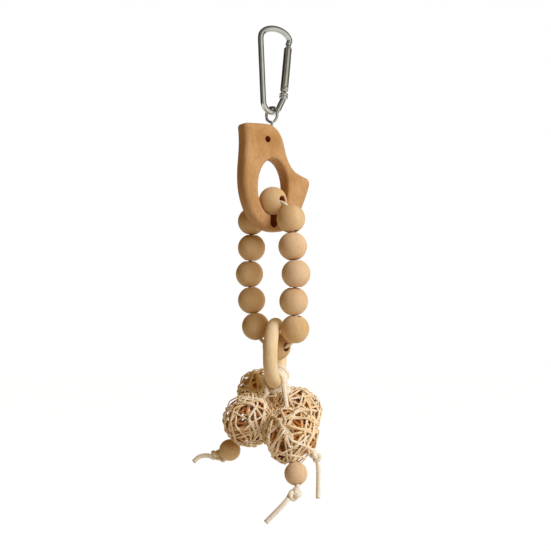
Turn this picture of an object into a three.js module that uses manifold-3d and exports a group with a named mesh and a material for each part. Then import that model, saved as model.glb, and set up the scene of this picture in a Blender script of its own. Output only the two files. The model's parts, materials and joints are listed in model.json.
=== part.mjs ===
// Hanging wooden chew toy for a cage bird: a snap hook carries a flat wooden bird,
// a loop of wooden beads hangs through the bird, a wooden ring hangs on the loop,
// and four woven rattan balls hang in a cluster from the ring.
// Millimetres, +Z up, origin where the cage bar bears inside the top of the hook.
import * as THREE from 'three';
import { mergeVertices } from 'three/addons/utils/BufferGeometryUtils.js';
import Module from 'manifold-3d';

const wasm = await Module();
wasm.setup();

// Driving dimensions
const seatGap = 0.3;            // clearance between pieces that rest on each other
const turn = THREE.MathUtils.degToRad;

// Snap hook
const hookWire = 4.1;           // wire diameter
const hookHalfWidth = 12.5;     // middle of the wire to the centre line, at the wide top
const hookTopRise = 7.7;        // height of the top bend above its springing
const hookBottomRadius = 7.15;  // small bend at the bottom, at the middle of the wire
const hookBottomShift = -3.2;   // small bend's centre, left of the centre line
const hookReach = 60.4;         // cage bar seat down to the outside of the small bend
const hookYaw = turn(32.7);     // turn of the hook's plane about the vertical
const gateDiameter = 5.7;
const gateLength = 30.4;        // pivot to the tip
const pivotAcross = 7.6;        // gate pivot, right of the centre line
const pivotBelow = 40;          // gate pivot, below the cage bar seat
const gateLean = turn(6.2);     // gate leans outwards towards the wide top
const tongueThickness = 1.6;    // flat hinge tongue and nose tongue
const slotGap = 0.3;            // each side of a tongue in its slot
const noseDepth = 6.2;          // how far the nose reaches into the gate
const noseBar = 2;              // diameter of the cross bar on the nose
const noseBarLength = 3.6;
const rivetDiameter = 1.6;
const rivetHead = 2.6;
const rivetHeadHeight = 0.6;
const rivetRunning = 0.08;      // clearance round the rivet
const springWire = 0.5;
const springDiameter = 2.7;     // outside
const springTurns = 6;
const springLength = 12;
const collarDiameter = 6.3;     // stepped collar below the gate's hinge
const collarLength = 4.2;

// Screw eye
const eyeWire = 2;
const eyeInside = 6.8;          // inside diameter of the eye
const eyeYaw = turn(-29.9);
const eyeShankLength = 17;      // outside of the eye to the point of the screw
const eyePoint = 2.5;           // tapered end of the screw

// Wooden bird
const birdThickness = 12;
const birdYaw = turn(35);
const birdEdge = 2.2;           // radius of the rounded edges
const birdHeight = 77;          // top to bottom
const birdFront = -27;          // breast, left of the screw eye
const birdTail = 31;            // tip of the tail, right of the screw eye
const eyeNeck = 2.6;            // bare neck of the screw eye above the wood
const holeHalfWidth = 12.9;
const holeHalfHeight = 20.6;
const holeAcross = -2;          // middle of the egg-shaped hole from the screw eye
const holeAboveBottom = 31.2;   // middle of the hole above the bottom of the bird
const drillEye = 4.6;           // drilled hole for the bird's eye
const drillEyeAcross = -7.4;
const drillEyeBelowTop = 11.8;

// Beads of the loop
const beadDiameter = 20;
const beadLength = 18.6;        // across the flats round the bore
const beadBore = 6;
const beadSpace = 0.7;          // play between two beads
const sideBeadCount = 5;            // beads on each side of the loop
const loopYaw = turn(-42.2);    // direction from the rear side to the front side
const loopCord = 2.6;
const topBeadForward = 3.9;     // top bead, forward of the middle of the wood
const topBeadAcross = 0.2;      // top bead, right of the middle of the hole
const rearClearance = 0.6;      // rear side of the loop to the wood
const frontClearance = 4.6;     // front side of the loop to the wood
const firstDrop = 13.6;         // from the top bead down to the first bead of a side
const lastDrop = 13.2;          // from the last bead of a side to the bottom bead
const ringPlay = 1.4;           // rear side of the loop to the ring
const bottomBeadShift = 3.7;    // bottom bead, to the front side of the top bead
const frontBow = [0, 0.7, 2.8, -0.2, 0];  // natural bow of each side, bead by bead
const rearBow = [0, 1, 4.2, 3, 0];

// Wooden ring
const ringDiameter = 50;
const ringSection = 10;
const ringYaw = turn(-10);      // direction of the ring's axis
const ringShift = -1;           // ring off the middle of the bottom bead, along its axis

// Rattan balls, end beads and their cords
const cord = 3.2;
const ballDiameter = 39.2;
const poleSink = 1;             // the open poles of a ball lie this far inside its sphere
const strip = 2.4;              // width of a rattan strip
const stripThickness = 2.5;
const endBeadDiameter = 15;
const endBeadLength = 14;
const endBeadBore = 4.4;
const knotRadius = 2.8;         // middle of the cord in a turn of the knot
const endSpace = 0.4;           // play between ball, bead and knot
const turnGap = 0.6;            // between two turns of a hitch, inside the ring

// Derived places of the hook
const topSpring = hookWire / 2 - hookTopRise;
const bottomBendZ = -hookReach + hookWire / 2 + hookBottomRadius;
const gateRadius = gateDiameter / 2;
const slotWidth = tongueThickness + 2 * slotGap;

function steel(color, roughness) {
  return new THREE.MeshStandardMaterial({ color, roughness, metalness: 1 });
}

function matt(color, roughness) {
  return new THREE.MeshStandardMaterial({ color, roughness, metalness: 0 });
}

const nickel = steel('#b9b4aa', 0.28);
const springSteel = steel('#8f8f8c', 0.4);
const beech = matt('#c69a63', 0.6);
const lightWood = matt('#dcbf92', 0.6);
const ringWood = matt('#e0c79a', 0.6);
const rattan = matt('#e2c590', 0.7);
const cotton = matt('#e8dcc0', 0.9);

// A closed solid for cutting and joining, from a geometry whose seams are merged.
function solid(geometry, matrix = new THREE.Matrix4()) {
  const bare = geometry.clone().applyMatrix4(matrix);
  bare.deleteAttribute('normal');
  bare.deleteAttribute('uv');
  const merged = mergeVertices(bare, 1e-4);
  return new wasm.Manifold(new wasm.Mesh({
    numProp: 3,
    vertProperties: Float32Array.from(merged.attributes.position.array),
    triVerts: Uint32Array.from(merged.index.array),
  }));
}

function geometryOf(body) {
  const data = body.getMesh();
  const geometry = new THREE.BufferGeometry();
  geometry.setAttribute('position', new THREE.BufferAttribute(data.vertProperties, 3));
  geometry.setIndex(new THREE.BufferAttribute(data.triVerts, 1));
  geometry.computeVertexNormals();
  return geometry;
}

function named(name, geometry, material) {
  const mesh = new THREE.Mesh(geometry, material);
  mesh.name = name;
  return mesh;
}

function ellipse(x, y, halfWidth, halfHeight, sides) {
  const points = [];
  for (let i = 0; i < sides; i += 1) {
    const angle = (2 * Math.PI * (i + 0.5)) / sides;
    const [dx, dy] = [halfWidth * Math.cos(angle), halfHeight * Math.sin(angle)];
    points.push(new THREE.Vector2(x + dx, y + dy));
  }
  return points;
}

// A round tube along a curve, with flat ends.
function tube(curve, diameter, steps, sides = 8) {
  const section = new THREE.Shape(ellipse(0, 0, diameter / 2, diameter / 2, sides));
  return new THREE.ExtrudeGeometry(section, {
    steps,
    extrudePath: curve,
    bevelEnabled: false,
  });
}

// A turned piece about Z, from [radius, height] points that close on themselves or the axis.
function turned(profile, segments) {
  const points = profile.map(([r, z]) => new THREE.Vector2(r, z));
  return new THREE.LatheGeometry(points, segments).rotateX(Math.PI / 2);
}

function cylinder(radius, from, to, segments = 12) {
  const geometry = new THREE.CylinderGeometry(radius, radius, to - from, segments);
  return geometry.rotateX(Math.PI / 2).translate(0, 0, (from + to) / 2);
}

function block(x0, x1, y0, y1, z0, z1) {
  const geometry = new THREE.BoxGeometry(x1 - x0, y1 - y0, z1 - z0);
  return geometry.translate((x0 + x1) / 2, (y0 + y1) / 2, (z0 + z1) / 2);
}

// Least gap of a wound tube to itself, between points that lie a few diameters apart on it.
function leastGap(curve, diameter) {
  const points = curve.getSpacedPoints(400);
  const apart = Math.ceil((3 * diameter * 400) / curve.getLength());
  let least = Infinity;
  points.forEach((point, index) => {
    for (let j = index + apart; j < points.length; j += 1) {
      least = Math.min(least, point.distanceTo(points[j]) - diameter);
    }
  });
  return least;
}

function printGap(name, curve, diameter) {
  console.log(`${name}: least gap to itself ${leastGap(curve, diameter).toFixed(2)} mm`);
}

// Snap hook, in its own plane: X across, Z up, the gate on the +X side.
class PlaneLine extends THREE.Curve {
  constructor(path) {
    super();
    this.path = path;
  }

  getPoint(t, target = new THREE.Vector3()) {
    const point = this.path.getPointAt(Math.min(Math.max(t, 0), 1));
    return target.set(point.x, 0, point.y);
  }
}

// Gate frame: origin on the hinge pivot, Z up the gate, X outwards.
const gateFrame = new THREE.Matrix4()
  .makeRotationY(gateLean)
  .setPosition(pivotAcross, 0, -pivotBelow);

function gatePoint(x, z) {
  const point = new THREE.Vector3(x, 0, z).applyMatrix4(gateFrame);
  return [point.x, point.z];
}

function hookPath() {
  const stubBelow = collarLength + gateRadius;
  const [startX, startZ] = gatePoint(0, -stubBelow);
  const [endX, endZ] = gatePoint(0, gateLength + 2 * slotGap);
  const path = new THREE.Path();
  path.moveTo(startX, startZ);
  path.lineTo(startX - 0.8, startZ - 1.8);
  path.absarc(hookBottomShift, bottomBendZ, hookBottomRadius, turn(-14), turn(-177), true);
  path.lineTo(-hookHalfWidth, topSpring - 2);
  path.absellipse(0, topSpring, hookHalfWidth, hookTopRise, Math.PI, 0, true);
  path.lineTo(...gatePoint(0, gateLength + hookWire));
  path.lineTo(endX, endZ);
  return path;
}

function hookBody() {
  const collarTop = -gateRadius - 2 * slotGap;
  const collarFoot = collarTop - collarLength;
  const collarStep = collarLength / 4;
  const neck = hookWire / 2;
  const rim = collarDiameter / 2;
  const collar = turned([
    [0, collarFoot],
    [neck, collarFoot],
    [rim, collarFoot + collarStep / 2],
    [rim, collarFoot + 1.6 * collarStep],
    [rim - 0.5, collarFoot + 2 * collarStep],
    [rim, collarFoot + 2.4 * collarStep],
    [rim, collarTop - collarStep / 2],
    [neck, collarTop],
    [0, collarTop],
  ], 14);
  const half = tongueThickness / 2;
  const tongueReach = hookWire / 2;
  const tongue = block(-tongueReach, tongueReach, -half, half, collarTop - 1, 0);
  const tongueRound = cylinder(tongueReach, -half, half, 16).rotateX(Math.PI / 2);
  const boreRadius = rivetDiameter / 2 + rivetRunning;
  const bore = cylinder(boreRadius, -gateDiameter, gateDiameter).rotateX(Math.PI / 2);
  const noseEnd = gateLength - noseDepth;
  const nose = block(-0.8, neck, -half, half, noseEnd, gateLength + 1.5);
  const barMiddle = noseEnd + noseBar / 2;
  const bar = cylinder(noseBar / 2, -noseBarLength / 2, noseBarLength / 2, 10)
    .rotateX(Math.PI / 2)
    .translate(0.4, 0, barMiddle);
  return solid(tube(new PlaneLine(hookPath()), hookWire, 46, 8))
    .add(solid(collar, gateFrame))
    .add(solid(tongue, gateFrame))
    .add(solid(tongueRound, gateFrame))
    .subtract(solid(bore, gateFrame))
    .add(solid(nose, gateFrame))
    .add(solid(bar, gateFrame));
}

// Gate: a round bar forked round the hinge tongue, bored for its spring, and slotted on
// its outer side for the nose. The floor of the nose slot is what stops the gate.
const springSeat = 6.4;
const springBore = springDiameter + 2 * slotGap;

function gateBody() {
  const tip = 0.8;
  const foot = 1.3;
  const bar = turned([
    [0, -gateRadius],
    [gateRadius - foot, -gateRadius],
    [gateRadius, foot - gateRadius],
    [gateRadius, gateLength - tip],
    [gateRadius - tip, gateLength],
    [0, gateLength],
  ], 14);
  const half = slotWidth / 2;
  const reach = gateRadius + 1;
  const fork = block(-reach, reach, -half, half, -reach, hookWire / 2 + 2 * slotGap);
  const noseEnd = gateLength - noseDepth;
  const slotFoot = noseEnd - 2.5 * slotGap;
  const noseSlot = block(-0.8 - slotGap, reach, -half, half, slotFoot, gateLength + 1);
  const barHalf = noseBarLength / 2 + slotGap;
  const barTop = noseEnd + noseBar + slotGap;
  const barPocket = block(-0.6 - slotGap, reach, -barHalf, barHalf, slotFoot, barTop);
  const rivetBore = cylinder(rivetDiameter / 2 + rivetRunning, -reach, reach)
    .rotateX(Math.PI / 2);
  const bore = cylinder(springBore / 2, 0, springSeat + springLength + 2 * slotGap, 10);
  return solid(bar)
    .subtract(solid(fork))
    .subtract(solid(noseSlot))
    .subtract(solid(barPocket))
    .subtract(solid(rivetBore))
    .subtract(solid(bore));
}

// Compression spring: one unbroken tube along a helix.
class Helix extends THREE.Curve {
  constructor(radius, turns, length) {
    super();
    this.radius = radius;
    this.turns = turns;
    this.length = length;
  }

  getPoint(t, target = new THREE.Vector3()) {
    const angle = 2 * Math.PI * this.turns * t;
    const x = this.radius * Math.cos(angle);
    const y = this.radius * Math.sin(angle);
    return target.set(x, y, this.length * t);
  }
}

function gateSpring() {
  const radius = (springDiameter - springWire) / 2;
  const run = springLength - springWire;
  const steps = 8 * springTurns;
  const helix = new Helix(radius, springTurns, run);
  printGap('gate_spring', helix, springWire);
  return tube(helix, springWire, steps, 5)
    .translate(0, 0, springSeat + springWire / 2);
}

// Plunger between the spring and the round end of the hinge tongue.
function gatePlunger() {
  const radius = springDiameter / 2;
  const foot = hookWire / 2 + seatGap;
  return turned([
    [0, foot],
    [0.5, foot],
    [radius, foot + 1],
    [radius, springSeat - seatGap],
    [0, springSeat - seatGap],
  ], 10);
}

function hingeRivet() {
  const shoulder = gateRadius + slotGap;
  const end = shoulder + rivetHeadHeight;
  return turned([
    [0, -end],
    [rivetHead / 2 - 0.3, -end],
    [rivetHead / 2, -shoulder],
    [rivetDiameter / 2, -shoulder],
    [rivetDiameter / 2, shoulder],
    [rivetHead / 2, shoulder],
    [rivetHead / 2 - 0.3, end],
    [0, end],
  ], 12).rotateX(Math.PI / 2);
}

function snapHook() {
  const hook = new THREE.Group();
  hook.rotation.z = hookYaw;
  hook.add(named('hook_body', geometryOf(hookBody()), nickel));
  const gate = new THREE.Group();
  gate.position.set(pivotAcross, 0, -pivotBelow);
  gate.rotation.y = gateLean;
  gate.add(named('hook_gate', geometryOf(gateBody()), nickel));
  gate.add(named('gate_spring', gateSpring(), springSteel));
  gate.add(named('gate_plunger', gatePlunger(), springSteel));
  gate.add(named('hinge_rivet', hingeRivet(), nickel));
  hook.add(gate);
  return hook;
}

// Screw eye: it hangs in the small bend, and its shank is screwed into the bird.
const eyeRadius = (eyeInside + eyeWire) / 2;
const wireTop = -hookReach + hookWire;
const eyeCentreZ = wireTop + seatGap - eyeInside / 2;
const eyeFootZ = eyeCentreZ - eyeRadius - eyeWire / 2;
const eyeX = hookBottomShift * Math.cos(hookYaw);
const eyeY = hookBottomShift * Math.sin(hookYaw);

function screwEye() {
  const ring = new THREE.TorusGeometry(eyeRadius, eyeWire / 2, 8, 20).rotateX(Math.PI / 2);
  const shankTop = -eyeRadius;
  const shankFoot = shankTop - eyeShankLength;
  const shank = turned([
    [0, shankFoot],
    [eyeWire / 2, shankFoot + eyePoint],
    [eyeWire / 2, shankTop - 2],
    [eyeWire / 2 + 0.6, shankTop - 0.6],
    [0, shankTop],
  ], 10);
  const eye = named('screw_eye', geometryOf(solid(ring).add(solid(shank))), nickel);
  eye.position.set(eyeX, eyeY, eyeCentreZ);
  eye.rotation.z = eyeYaw;
  return eye;
}

// Wooden bird, in its own plane: X from the screw eye towards the tail, Z up.
const birdTopZ = eyeFootZ - eyeNeck;
const birdBottomZ = birdTopZ - birdHeight;
const holeZ = birdBottomZ + holeAboveBottom;

function birdOutline() {
  const top = birdTopZ;
  const foot = birdBottomZ;
  const tail = birdTail;
  const front = birdFront;
  const shape = new THREE.Shape();
  shape.moveTo(front + 4.2, top - 0.4);
  shape.quadraticCurveTo(front + 12, top + 0.2, front + 21, top - 0.3);
  shape.bezierCurveTo(tail - 28, top - 2.2, tail - 24.5, top - 8, tail - 22.5, top - 16);
  shape.bezierCurveTo(tail - 20.5, top - 24, tail - 17.5, top - 30, tail - 12.5, top - 33);
  shape.quadraticCurveTo(tail - 8, top - 35.2, tail - 3, top - 36.6);
  shape.bezierCurveTo(tail - 0.3, top - 37.4, tail + 0.6, top - 40, tail - 0.6, top - 43.5);
  shape.bezierCurveTo(tail - 4, top - 53, tail - 8, top - 62, tail - 13.5, foot + 7.5);
  shape.bezierCurveTo(tail - 18.5, foot + 1.6, tail - 24, foot, tail - 30, foot);
  shape.bezierCurveTo(front + 17, foot, front + 8, foot + 6.5, front + 3.2, foot + 19);
  shape.bezierCurveTo(front - 0.3, foot + 28, front - 0.8, foot + 38, front + 0.5, foot + 50);
  shape.bezierCurveTo(front + 1.4, foot + 60, front + 1.6, foot + 65, front + 0.7, top - 4);
  shape.quadraticCurveTo(front + 0.3, top - 0.6, front + 4.2, top - 0.4);
  const outline = new THREE.Shape(shape.getPoints(5).slice(0, -1));
  const hole = ellipse(holeAcross, holeZ, holeHalfWidth, holeHalfHeight, 28);
  outline.holes.push(new THREE.Path(hole));
  return outline;
}

function birdBody() {
  const flat = birdThickness - 2 * birdEdge;
  const board = new THREE.ExtrudeGeometry(birdOutline(), {
    depth: flat,
    bevelThickness: birdEdge,
    bevelSize: birdEdge,
    bevelOffset: -birdEdge,
    bevelSegments: 2,
  }).translate(0, 0, -flat / 2).rotateX(Math.PI / 2);
  const drill = cylinder(drillEye / 2, -birdThickness, birdThickness, 12)
    .rotateX(Math.PI / 2)
    .translate(drillEyeAcross, 0, birdTopZ - drillEyeBelowTop);
  const screwFoot = eyeCentreZ - eyeRadius - eyeShankLength - seatGap;
  const screwHole = cylinder(eyeWire / 2 + seatGap, screwFoot, birdTopZ + birdThickness, 10);
  return solid(board).subtract(solid(drill)).subtract(solid(screwHole));
}

// A bead about its bore, Z along the bore.
function bead(diameter, length, bore, segments) {
  const radius = diameter / 2;
  const half = length / 2;
  const flatAngle = Math.asin(half / radius);
  const bands = 4;
  const profile = [[bore / 2, -half]];
  for (let i = 0; i <= bands; i += 1) {
    const angle = flatAngle * ((2 * i) / bands - 1);
    profile.push([radius * Math.cos(angle), radius * Math.sin(angle)]);
  }
  profile.push([bore / 2, half], [bore / 2, -half]);
  return turned(profile, segments);
}

// Points of the bead loop. The top bead bears on the two lower sides of the hole.
const beadRadius = beadDiameter / 2;
const across = new THREE.Vector3(Math.cos(birdYaw), Math.sin(birdYaw), 0);
const forward = new THREE.Vector3(Math.sin(birdYaw), -Math.cos(birdYaw), 0);
const loopSide = new THREE.Vector3(Math.cos(loopYaw), Math.sin(loopYaw), 0);
const ringAxis = new THREE.Vector3(Math.cos(ringYaw), Math.sin(ringYaw), 0);
const ringSide = new THREE.Vector3(-Math.sin(ringYaw), Math.cos(ringYaw), 0);
const up = new THREE.Vector3(0, 0, 1);

function along(origin, ...steps) {
  const point = origin.clone();
  for (const [direction, distance] of steps) point.addScaledVector(direction, distance);
  return point;
}

const bearing = beadRadius + 2 * seatGap;
const holeSquares = holeHalfHeight ** 2 - holeHalfWidth ** 2;
const topBeadBelow = Math.sqrt(holeSquares * Math.max(0, 1 - (bearing / holeHalfWidth) ** 2));
const eyePlace = new THREE.Vector3(eyeX, eyeY, 0);
const topBead = along(
  eyePlace,
  [across, holeAcross + topBeadAcross],
  [forward, topBeadForward],
  [up, holeZ - topBeadBelow],
);

const sideLean = loopSide.dot(forward);
const halfWood = birdThickness / 2 + beadRadius;
const frontFirst = (halfWood + frontClearance - topBeadForward) / sideLean;
const rearFirst = (halfWood + rearClearance + topBeadForward) / sideLean;
const ringTwist = loopSide.dot(ringAxis);
const ringRadius = (ringDiameter - ringSection) / 2;
const besideRing = ringSection / 2 + beadRadius;
const frontLast = bottomBeadShift + (besideRing + 1.5 * seatGap + ringShift) / ringTwist;
const rearLast = (besideRing + ringPlay - ringShift) / ringTwist - bottomBeadShift;

// Bead centres down one side of the loop, from the top bead's height.
function sideOfLoop(first, last, bow, sign) {
  const pitch = beadLength + beadSpace;
  const centres = [];
  let height = topBead.z - firstDrop;
  let previous = 0;
  for (let i = 0; i < sideBeadCount; i += 1) {
    const share = i / (sideBeadCount - 1);
    const offset = first + (last - first) * share + bow[i];
    if (i > 0) height -= Math.sqrt(pitch ** 2 - (offset - previous) ** 2);
    centres.push(along(topBead, [loopSide, sign * offset], [up, height - topBead.z]));
    previous = offset;
  }
  return centres;
}

const frontBeads = sideOfLoop(frontFirst, frontLast, frontBow, 1);
const rearBeads = sideOfLoop(rearFirst, rearLast, rearBow, -1);
const lowestFront = frontBeads[sideBeadCount - 1];
const lowestRear = rearBeads[sideBeadCount - 1];
const bottomBeadZ = (lowestFront.z + lowestRear.z) / 2 - lastDrop;
const bottomBead = along(
  topBead,
  [loopSide, bottomBeadShift],
  [up, bottomBeadZ - topBead.z],
);
const loopOrder = [topBead, ...frontBeads, bottomBead, ...[...rearBeads].reverse()];

// Each bead lies along the line from its neighbour before to its neighbour after. The beads
// next to the top and bottom bead lie nearly in line with their own side.
const cornerShare = 0.6;

function boreDirection(index) {
  if (index === 0 || index === sideBeadCount + 1) {
    return index === 0 ? loopSide.clone() : loopSide.clone().negate();
  }
  const count = loopOrder.length;
  const before = loopOrder[(index + count - 1) % count];
  const after = loopOrder[(index + 1) % count];
  const nearTop = index === 1 || index === count - 1;
  const nearBottom = index === sideBeadCount || index === sideBeadCount + 2;
  const here = loopOrder[index];
  const direction = new THREE.Vector3().subVectors(after, before).normalize();
  if (nearTop || nearBottom) {
    const inner = index === 1 || index === sideBeadCount + 2 ? after : before;
    const straight = new THREE.Vector3().subVectors(inner, here).normalize();
    if (straight.dot(direction) < 0) straight.negate();
    direction.lerp(straight, cornerShare).normalize();
  }
  return direction;
}

// The loop's cord starts and ends inside the bottom bead, where its knot is hidden.
function loopCordLine() {
  const hold = beadLength * 0.4;
  const points = [];
  const count = loopOrder.length;
  const start = sideBeadCount + 1;
  points.push(along(bottomBead, [loopSide, -seatGap / 2]));
  points.push(along(bottomBead, [loopSide, -hold]));
  for (let i = 1; i < count; i += 1) {
    const index = (start + i) % count;
    const direction = boreDirection(index);
    points.push(along(loopOrder[index], [direction, -hold]));
    points.push(along(loopOrder[index], [direction, hold]));
  }
  points.push(along(bottomBead, [loopSide, hold]));
  points.push(along(bottomBead, [loopSide, seatGap / 2]));
  return new THREE.CatmullRomCurve3(points, false, 'centripetal');
}

function placed(mesh, centre, direction) {
  mesh.position.copy(centre);
  mesh.quaternion.setFromUnitVectors(up, direction);
  return mesh;
}

function beadLoop() {
  const loop = new THREE.Group();
  const shape = bead(beadDiameter, beadLength, beadBore, 14);
  loopOrder.forEach((centre, index) => {
    const name = `loop_bead_${String(index + 1).padStart(2, '0')}`;
    loop.add(placed(named(name, shape, lightWood), centre, boreDirection(index)));
  });
  loop.add(named('loop_cord', tube(loopCordLine(), loopCord, 76), cotton));
  return loop;
}

// Ring: it hangs with the inside of its rim on top of the bottom bead.
const ringCentre = along(
  bottomBead,
  [ringAxis, ringShift],
  [up, beadRadius + seatGap - (ringRadius - ringSection / 2)],
);

// A point near the ring's rim: at an angle round the ring from its lowest point, at a
// distance from the middle of the section, and at an angle round the section from outside.
function rimPoint(ringAngle, distance, sectionAngle) {
  const outwards = along(
    new THREE.Vector3(),
    [ringSide, Math.sin(ringAngle)],
    [up, -Math.cos(ringAngle)],
  );
  return along(
    ringCentre,
    [outwards, ringRadius + distance * Math.cos(sectionAngle)],
    [ringAxis, distance * Math.sin(sectionAngle)],
  );
}

// A hitch: cord wound nearly twice round the ring, turn beside turn, from a left end to a
// right end below the ring. Its legs run along the ring, clear of the turns, to where each
// end points at the ball that hangs from it.
const woundDistance = ringSection / 2 + cord / 2 + seatGap;
const wrapEnd = turn(62);       // where the turns leave the ring's sides, from below it
const woundSweep = 2 * wrapEnd - 4 * Math.PI;
const turnPitch = (cord + turnGap) / (ringRadius - woundDistance);
const hitchLay = (-woundSweep / (2 * Math.PI)) * turnPitch;
const legClimb = 0.3;           // share of a leg's run in which it rises off the turns
const legRun = 1.6;             // straight run at each end
const hitchTurns = 18;          // points round the turns
const hitchSteps = 38;

function hitchEnd(hitch, side) {
  const { at, drop, angle } = hitch[side];
  return rimPoint(at, drop, angle);
}

// Points of a leg, from the turns to its end.
function legPoints(hitch, side) {
  const sign = side === 'left' ? -1 : 1;
  const { nest, at, drop, angle } = hitch[side];
  const end = hitchEnd(hitch, side);
  const away = new THREE.Vector3().subVectors(ballCentre(nest), end).normalize();
  const from = hitch.place + (sign * hitch.lay * hitchLay) / 2;
  const count = Math.round(Math.abs(at - from) / turn(10));
  const points = [];
  for (let i = 1; i < count; i += 1) {
    const share = i / count;
    const rise = Math.min(1, share / legClimb);
    points.push(rimPoint(
      THREE.MathUtils.lerp(from, at, share),
      THREE.MathUtils.lerp(woundDistance, drop, rise),
      THREE.MathUtils.lerp(sign * wrapEnd, angle, share),
    ));
  }
  points.push(along(end, [away, -legRun]), end);
  return points;
}

function hitchLine(hitch) {
  const points = [];
  for (let i = 0; i <= hitchTurns; i += 1) {
    const share = i / hitchTurns;
    const place = hitch.place + hitch.lay * hitchLay * (share - 0.5);
    points.push(rimPoint(place, woundDistance, woundSweep * share - wrapEnd));
  }
  points.unshift(...legPoints(hitch, 'left').reverse());
  points.push(...legPoints(hitch, 'right'));
  return new THREE.CatmullRomCurve3(points, false, 'centripetal');
}

// Each hitch carries two balls. A nest is a ball's place from the ring's lowest point, in
// shares of the ball spacing; fall and tail are steps of the cord beyond the end bead.
const ballSpacing = ballDiameter + seatGap;
const ringFoot = along(ringCentre, [up, -ringDiameter / 2]);
const hitches = [
  {
    name: 'front',
    place: turn(-8),
    lay: 1,
    left: {
      at: turn(-18.5), drop: 11.6, angle: turn(-28), nest: [-0.456, -0.172, -0.529],
      fall: [-6, 7, 2], tail: [[-6, -1, -0.2], [-12, -2, -0.6], [-16.5, -3, -4]],
    },
    right: {
      at: turn(-35.5), drop: 12.4, angle: turn(48), nest: [0.258, -0.87, -0.658],
      fall: [-3, -2, -11.5], tail: [[-7, -2.5, -7], [-18.5, -4, -17]],
    },
  },
  {
    name: 'rear',
    place: turn(30),
    lay: -1,
    left: {
      at: turn(38.5), drop: 10.8, angle: turn(-55), nest: [-0.265, 1.098, -0.246],
      fall: [-2, 9, -8], tail: [[0, 3, -9], [0.5, 3.5, -20]],
    },
    right: {
      at: turn(21.5), drop: 11.8, angle: turn(42), nest: [0.385, 0.38, -0.504],
      fall: [12, -2, -9], tail: [[2, 0.5, -9], [1.8, 0.5, -31]],
    },
  },
];

function ballCentre(nest) {
  return new THREE.Vector3(...nest).multiplyScalar(ballSpacing).add(ringFoot);
}

// A ball of rattan strips: hoops that cross each other and leave the poles open for the cord.
function rattanBall(spin) {
  const outer = Math.sqrt((ballDiameter / 2) ** 2 - (strip / 2) ** 2);
  const hoops = [[75, 0], [74, 61], [76, 122], [40, 30], [36, 205]];
  let ball = null;
  hoops.forEach(([tilt, heading], index) => {
    const rim = outer - 0.12 * (index % 3);
    const inner = rim - stripThickness;
    const hoop = turned([
      [inner, -strip / 2],
      [rim, -strip / 2],
      [rim, strip / 2],
      [inner, strip / 2],
      [inner, -strip / 2],
    ], 14);
    const lie = new THREE.Matrix4()
      .makeRotationZ(turn(heading + 37 * spin))
      .multiply(new THREE.Matrix4().makeRotationY(turn(tilt)));
    const piece = solid(hoop, lie);
    ball = ball ? ball.add(piece) : piece;
  });
  return geometryOf(ball);
}

// Everything on one cord: where it leaves the hitch, the ball, the end bead and the knot.
function hangerPlaces(hitch, side) {
  const { nest, fall } = hitch[side];
  const end = hitchEnd(hitch, side);
  const ball = ballCentre(nest);
  const direction = new THREE.Vector3().subVectors(ball, end).normalize();
  const start = along(end, [direction, swingGap]);
  const reach = ballDiameter / 2 - poleSink + endBeadLength / 2 + endSpace;
  const endBead = along(ball, [direction, reach]);
  const sag = new THREE.Vector3(...fall).normalize();
  const toKnot = new THREE.Vector3().addVectors(direction, sag).normalize();
  const knotReach = endBeadDiameter / 2 + knotRadius + cord / 2 + 2 * endSpace;
  const knot = along(endBead, [toKnot, knotReach]);
  return { start, ball, direction, endBead, knot };
}

// Cord of one hanger: a tapered upper end, straight through ball and bead, a knot with a
// heart and two crossing turns, and a cut tail.
const swingGap = 0.6;           // lets a hanger swing on the end of its hitch
const taperEnd = 0.9;
const taperLength = 1;

function hangerCord(places, steps) {
  const { start, ball, direction, endBead, knot } = places;
  const tail = steps.map((step) => new THREE.Vector3(...step).add(knot));
  const line = new THREE.CatmullRomCurve3([
    along(start, [direction, taperLength * 0.9]),
    ball,
    along(endBead, [direction, -endBeadLength / 2]),
    along(endBead, [direction, endBeadLength / 3]),
    along(endBead, [direction, (endBeadLength + cord) / 2]),
    knot,
    ...tail,
  ], false, 'centripetal');
  const taper = turned([
    [0, 0],
    [taperEnd, 0],
    [cord / 2, taperLength],
    [0, taperLength],
  ], 8);
  const hang = new THREE.Quaternion().setFromUnitVectors(up, direction);
  taper.applyQuaternion(hang).translate(start.x, start.y, start.z);
  const heart = new THREE.IcosahedronGeometry(knotRadius, 1).translate(knot.x, knot.y, knot.z);
  let body = solid(tube(line, cord, 22)).add(solid(taper)).add(solid(heart));
  const away = new THREE.Vector3().subVectors(tail[0], knot).normalize();
  const lie = new THREE.Quaternion().setFromUnitVectors(up, away);
  for (const tilt of [-48, 48]) {
    const knotTurn = new THREE.TorusGeometry(knotRadius, cord / 2, 6, 10);
    knotTurn.rotateX(turn(tilt)).applyQuaternion(lie).translate(knot.x, knot.y, knot.z);
    body = body.add(solid(knotTurn));
  }
  return geometryOf(body);
}

function ballCluster() {
  const cluster = new THREE.Group();
  const endBead = bead(endBeadDiameter, endBeadLength, endBeadBore, 12);
  hitches.forEach((hitch, index) => {
    const line = hitchLine(hitch);
    printGap(`hitch_${hitch.name}`, line, cord);
    const wound = tube(line, cord, hitchSteps);
    cluster.add(named(`hitch_${hitch.name}`, wound, cotton));
    for (const side of ['left', 'right']) {
      const places = hangerPlaces(hitch, side);
      const name = `${side}_${hitch.name}`;
      const ball = named(`ball_${name}`, rattanBall(2 * index + (side === 'left' ? 0 : 1)), rattan);
      cluster.add(placed(ball, places.ball, places.direction));
      const last = named(`end_bead_${name}`, endBead, lightWood);
      cluster.add(placed(last, places.endBead, places.direction));
      cluster.add(named(`cord_${name}`, hangerCord(places, hitch[side].tail), cotton));
    }
  });
  return cluster;
}

const toy = new THREE.Group();
toy.add(snapHook());
toy.add(screwEye());

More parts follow.
